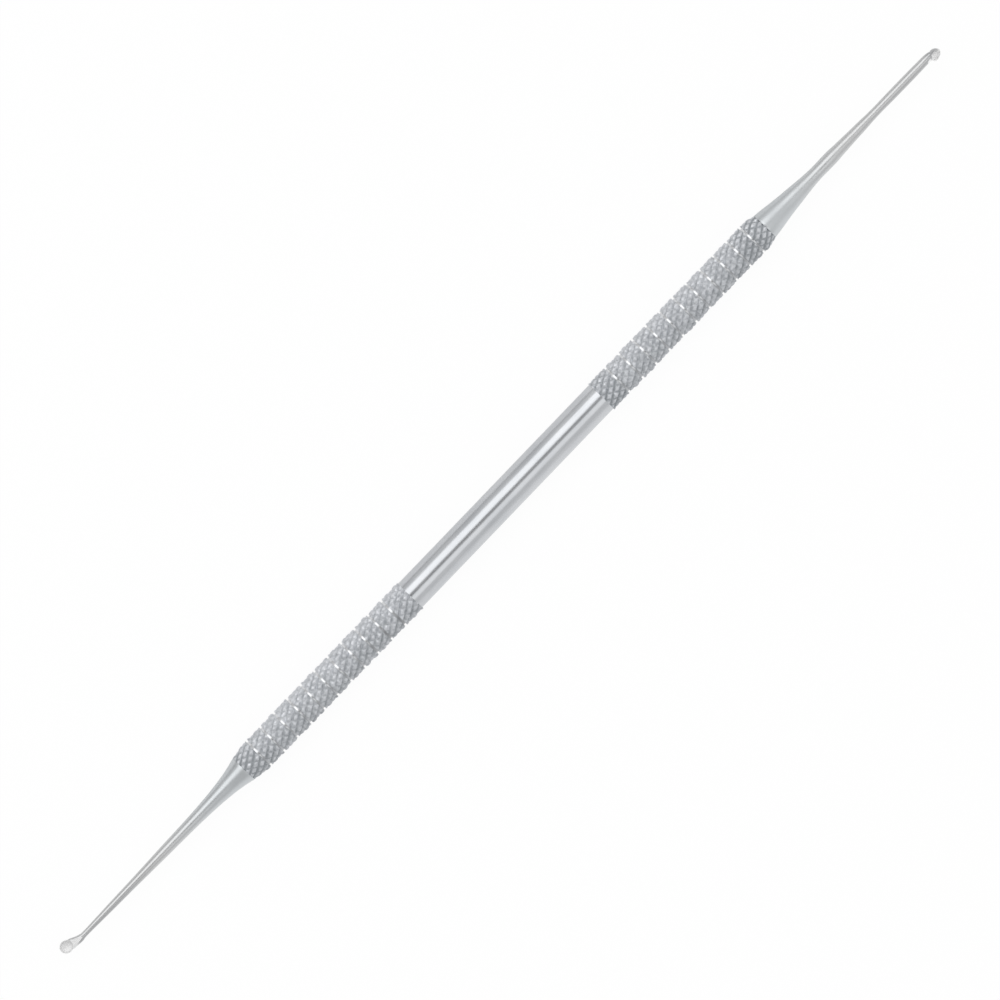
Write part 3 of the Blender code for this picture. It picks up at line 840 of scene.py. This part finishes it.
spoon = WorkingEnd(
    reach=30.4 * MM, neck_reach=3.1 * MM, neck_set=0.03 * MM,
    half_length=0.84 * MM, half_width=0.785 * MM, depth=0.56 * MM, bend=15,
)
scoop = WorkingEnd(
    reach=29.3 * MM, neck_reach=2.2 * MM, neck_set=0.06 * MM,
    half_length=0.76 * MM, half_width=0.83 * MM, depth=0.95 * MM, bend=10, turn=30, roll=58,
)

handle = make_handle()
spoon_end = make_working_end(
    "curette_spoon_end", spoon, SPOON_FINISH, SPOON_SHANK_SHARES, SPOON_NECK_SHARES, SPOON_FACE_X, True
)
scoop_end = make_working_end(
    "curette_scoop_end", scoop, SCOOP_FINISH, SCOOP_SHANK_SHARES, SCOOP_NECK_SHARES, SCOOP_FACE_X, False
)

for piece, node, slot in (
    (handle, "handle", "handle_steel"),
    (spoon_end, "working_end_spoon", "working_end_steel"),
    (scoop_end, "working_end_scoop", "working_end_steel"),
):
    piece.data.shade_smooth()
    piece.data.set_sharp_from_angle(angle=SMOOTH_ANGLE)
    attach(piece, "root")
    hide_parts(node)

solder = silver_solder()
for node in ("braze_ring_spoon", "braze_ring_scoop"):
    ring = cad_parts[node]
    for number in range(len(ring.material_slots)):
        ring.material_slots[number].material = solder


def seen_share(bench, mirror_share):
    """1 for rays that show the background straight or through glass, and a share for mirrored ones."""
    path = bench.node("ShaderNodeLightPath", out="Is Camera Ray")
    mirrored = path.output("Is Glossy Ray") * mirror_share
    return bench.clamp(path + path.output("Is Transmission Ray") + mirrored)


def paper_floor():
    """A plain floor that takes the tool's shadow, white to the camera and in reflections before the tool."""
    material = bpy.data.materials.new("white_paper")
    material.use_nodes = True
    bench = Bench(material.node_tree)
    paper = material.node_tree.nodes["Principled BSDF"]
    paper.inputs["Base Color"].default_value = (1, 1, 1, 1)
    paper.inputs["Roughness"].default_value = 0.9
    glow = bench.node("ShaderNodeEmission", {}, {"Color": (1, 1, 1, 1), "Strength": 1.0})
    place = bench.node("ShaderNodeTexCoord", out="Object")
    split = bench.node("ShaderNodeSeparateXYZ", {}, {"Vector": place})
    behind = bench.ramp(split.output("Y"), 0.0, 4 * MM)
    share = seen_share(bench, 1 - behind) * 0.95
    mixed = bench.node("ShaderNodeMixShader", {}, {0: share, 1: Wire(bench, paper.outputs[0]), 2: glow})
    bench.feed(material.node_tree.nodes["Material Output"].inputs["Surface"], mixed)
    mesh = bpy.data.meshes.new("floor")
    corners = ((-1, -1), (1, -1), (1, 1), (-1, 1))
    mesh.from_pydata([(x * FLOOR_HALF, y * FLOOR_HALF, -FLOOR_DROP) for x, y in corners], [], [(0, 1, 2, 3)])
    mesh.materials.append(material)
    floor = add_piece("floor", mesh)


def studio_world():
    """Soft grey surroundings, white to the camera: dark overhead and low down behind, pale low down in front.

    Over the scoop's shank there is a pale stretch overhead instead.
    """
    world = bpy.data.worlds.new("studio")
    bpy.context.scene.world = world
    world.use_nodes = True
    bench = Bench(world.node_tree)
    direction = bench.node("ShaderNodeTexCoord", out="Generated")
    split = bench.node("ShaderNodeSeparateXYZ", {}, {"Vector": direction})
    x, y, z = split, split.output("Y"), split.output("Z")
    along = x / 0.22
    across = (y + 0.04) / 0.165
    away = bench.math("SQRT", along * along + across * across)
    overhead = (1 - bench.ramp(away, 0.5, 1.3)) * bench.ramp(z, 0.0, 0.5)
    low = 1 - bench.ramp(z, 0.05, 0.45)
    behind = bench.ramp(y, 0.4, 0.9) * low
    before = bench.ramp(0 - y, 0.3, 0.9) * low
    by_scoop = bench.ramp(x, 0.05, 0.09) * (1 - bench.ramp(x, 0.14, 0.2))
    above = by_scoop * (1 - bench.ramp(bench.math("ABSOLUTE", y + 0.15), 0.1, 0.32)) * bench.ramp(z, 0.0, 0.5)
    share = seen_share(bench, 0.05)
    light = (
        0.75 + x * 0.23 - overhead * (1 - by_scoop) * 0.63 - behind * 0.17
        + before * (0.23 - by_scoop * 0.63) + above * 0.42
    )
    back = world.node_tree.nodes["Background"]
    back.inputs["Color"].default_value = (1, 1, 1, 1)
    bench.feed(back.inputs["Strength"], light * (1 - share) + share)


def softbox(name, tilt, middle_x, width, length, radiance):
    """A panel over the tool's long axis that faces it, some degrees to one side of straight up."""
    lean = math.radians(tilt)
    lamp = bpy.data.lights.new(name, "AREA")
    lamp.shape = "RECTANGLE"
    lamp.size = length
    lamp.size_y = width
    lamp.energy = radiance * math.pi * width * length
    panel = bpy.data.objects.new(name, lamp)
    bpy.context.scene.collection.objects.link(panel)
    panel.location = (middle_x, -LAMP_DISTANCE * math.sin(lean), LAMP_DISTANCE * math.cos(lean))
    panel.rotation_euler = (lean, 0, 0)


def photo_camera():
    """Straight above the tool, which runs up to the right across the picture."""
    camera = bpy.data.objects.new("camera", bpy.data.cameras.new("camera"))
    bpy.context.scene.collection.objects.link(camera)
    camera.data.sensor_width = SENSOR_WIDTH
    camera.data.lens = SENSOR_WIDTH * CAMERA_HEIGHT / FRAME_WIDTH
    camera.data.clip_start = 0.01
    camera.location = (0, CAMERA_SHIFT, AXIS_HEIGHT + CAMERA_HEIGHT)
    camera.rotation_euler = (0, 0, math.radians(CAMERA_TURN))
    bpy.context.scene.camera = camera


paper_floor()
studio_world()
softbox("key_softbox", tilt=-30, middle_x=-0.25, width=0.43, length=1.0, radiance=0.8)
softbox("fill_softbox", tilt=28, middle_x=0.0, width=0.31, length=0.24, radiance=0.42)
photo_camera()
bpy.context.scene.view_settings.view_transform = "Standard"
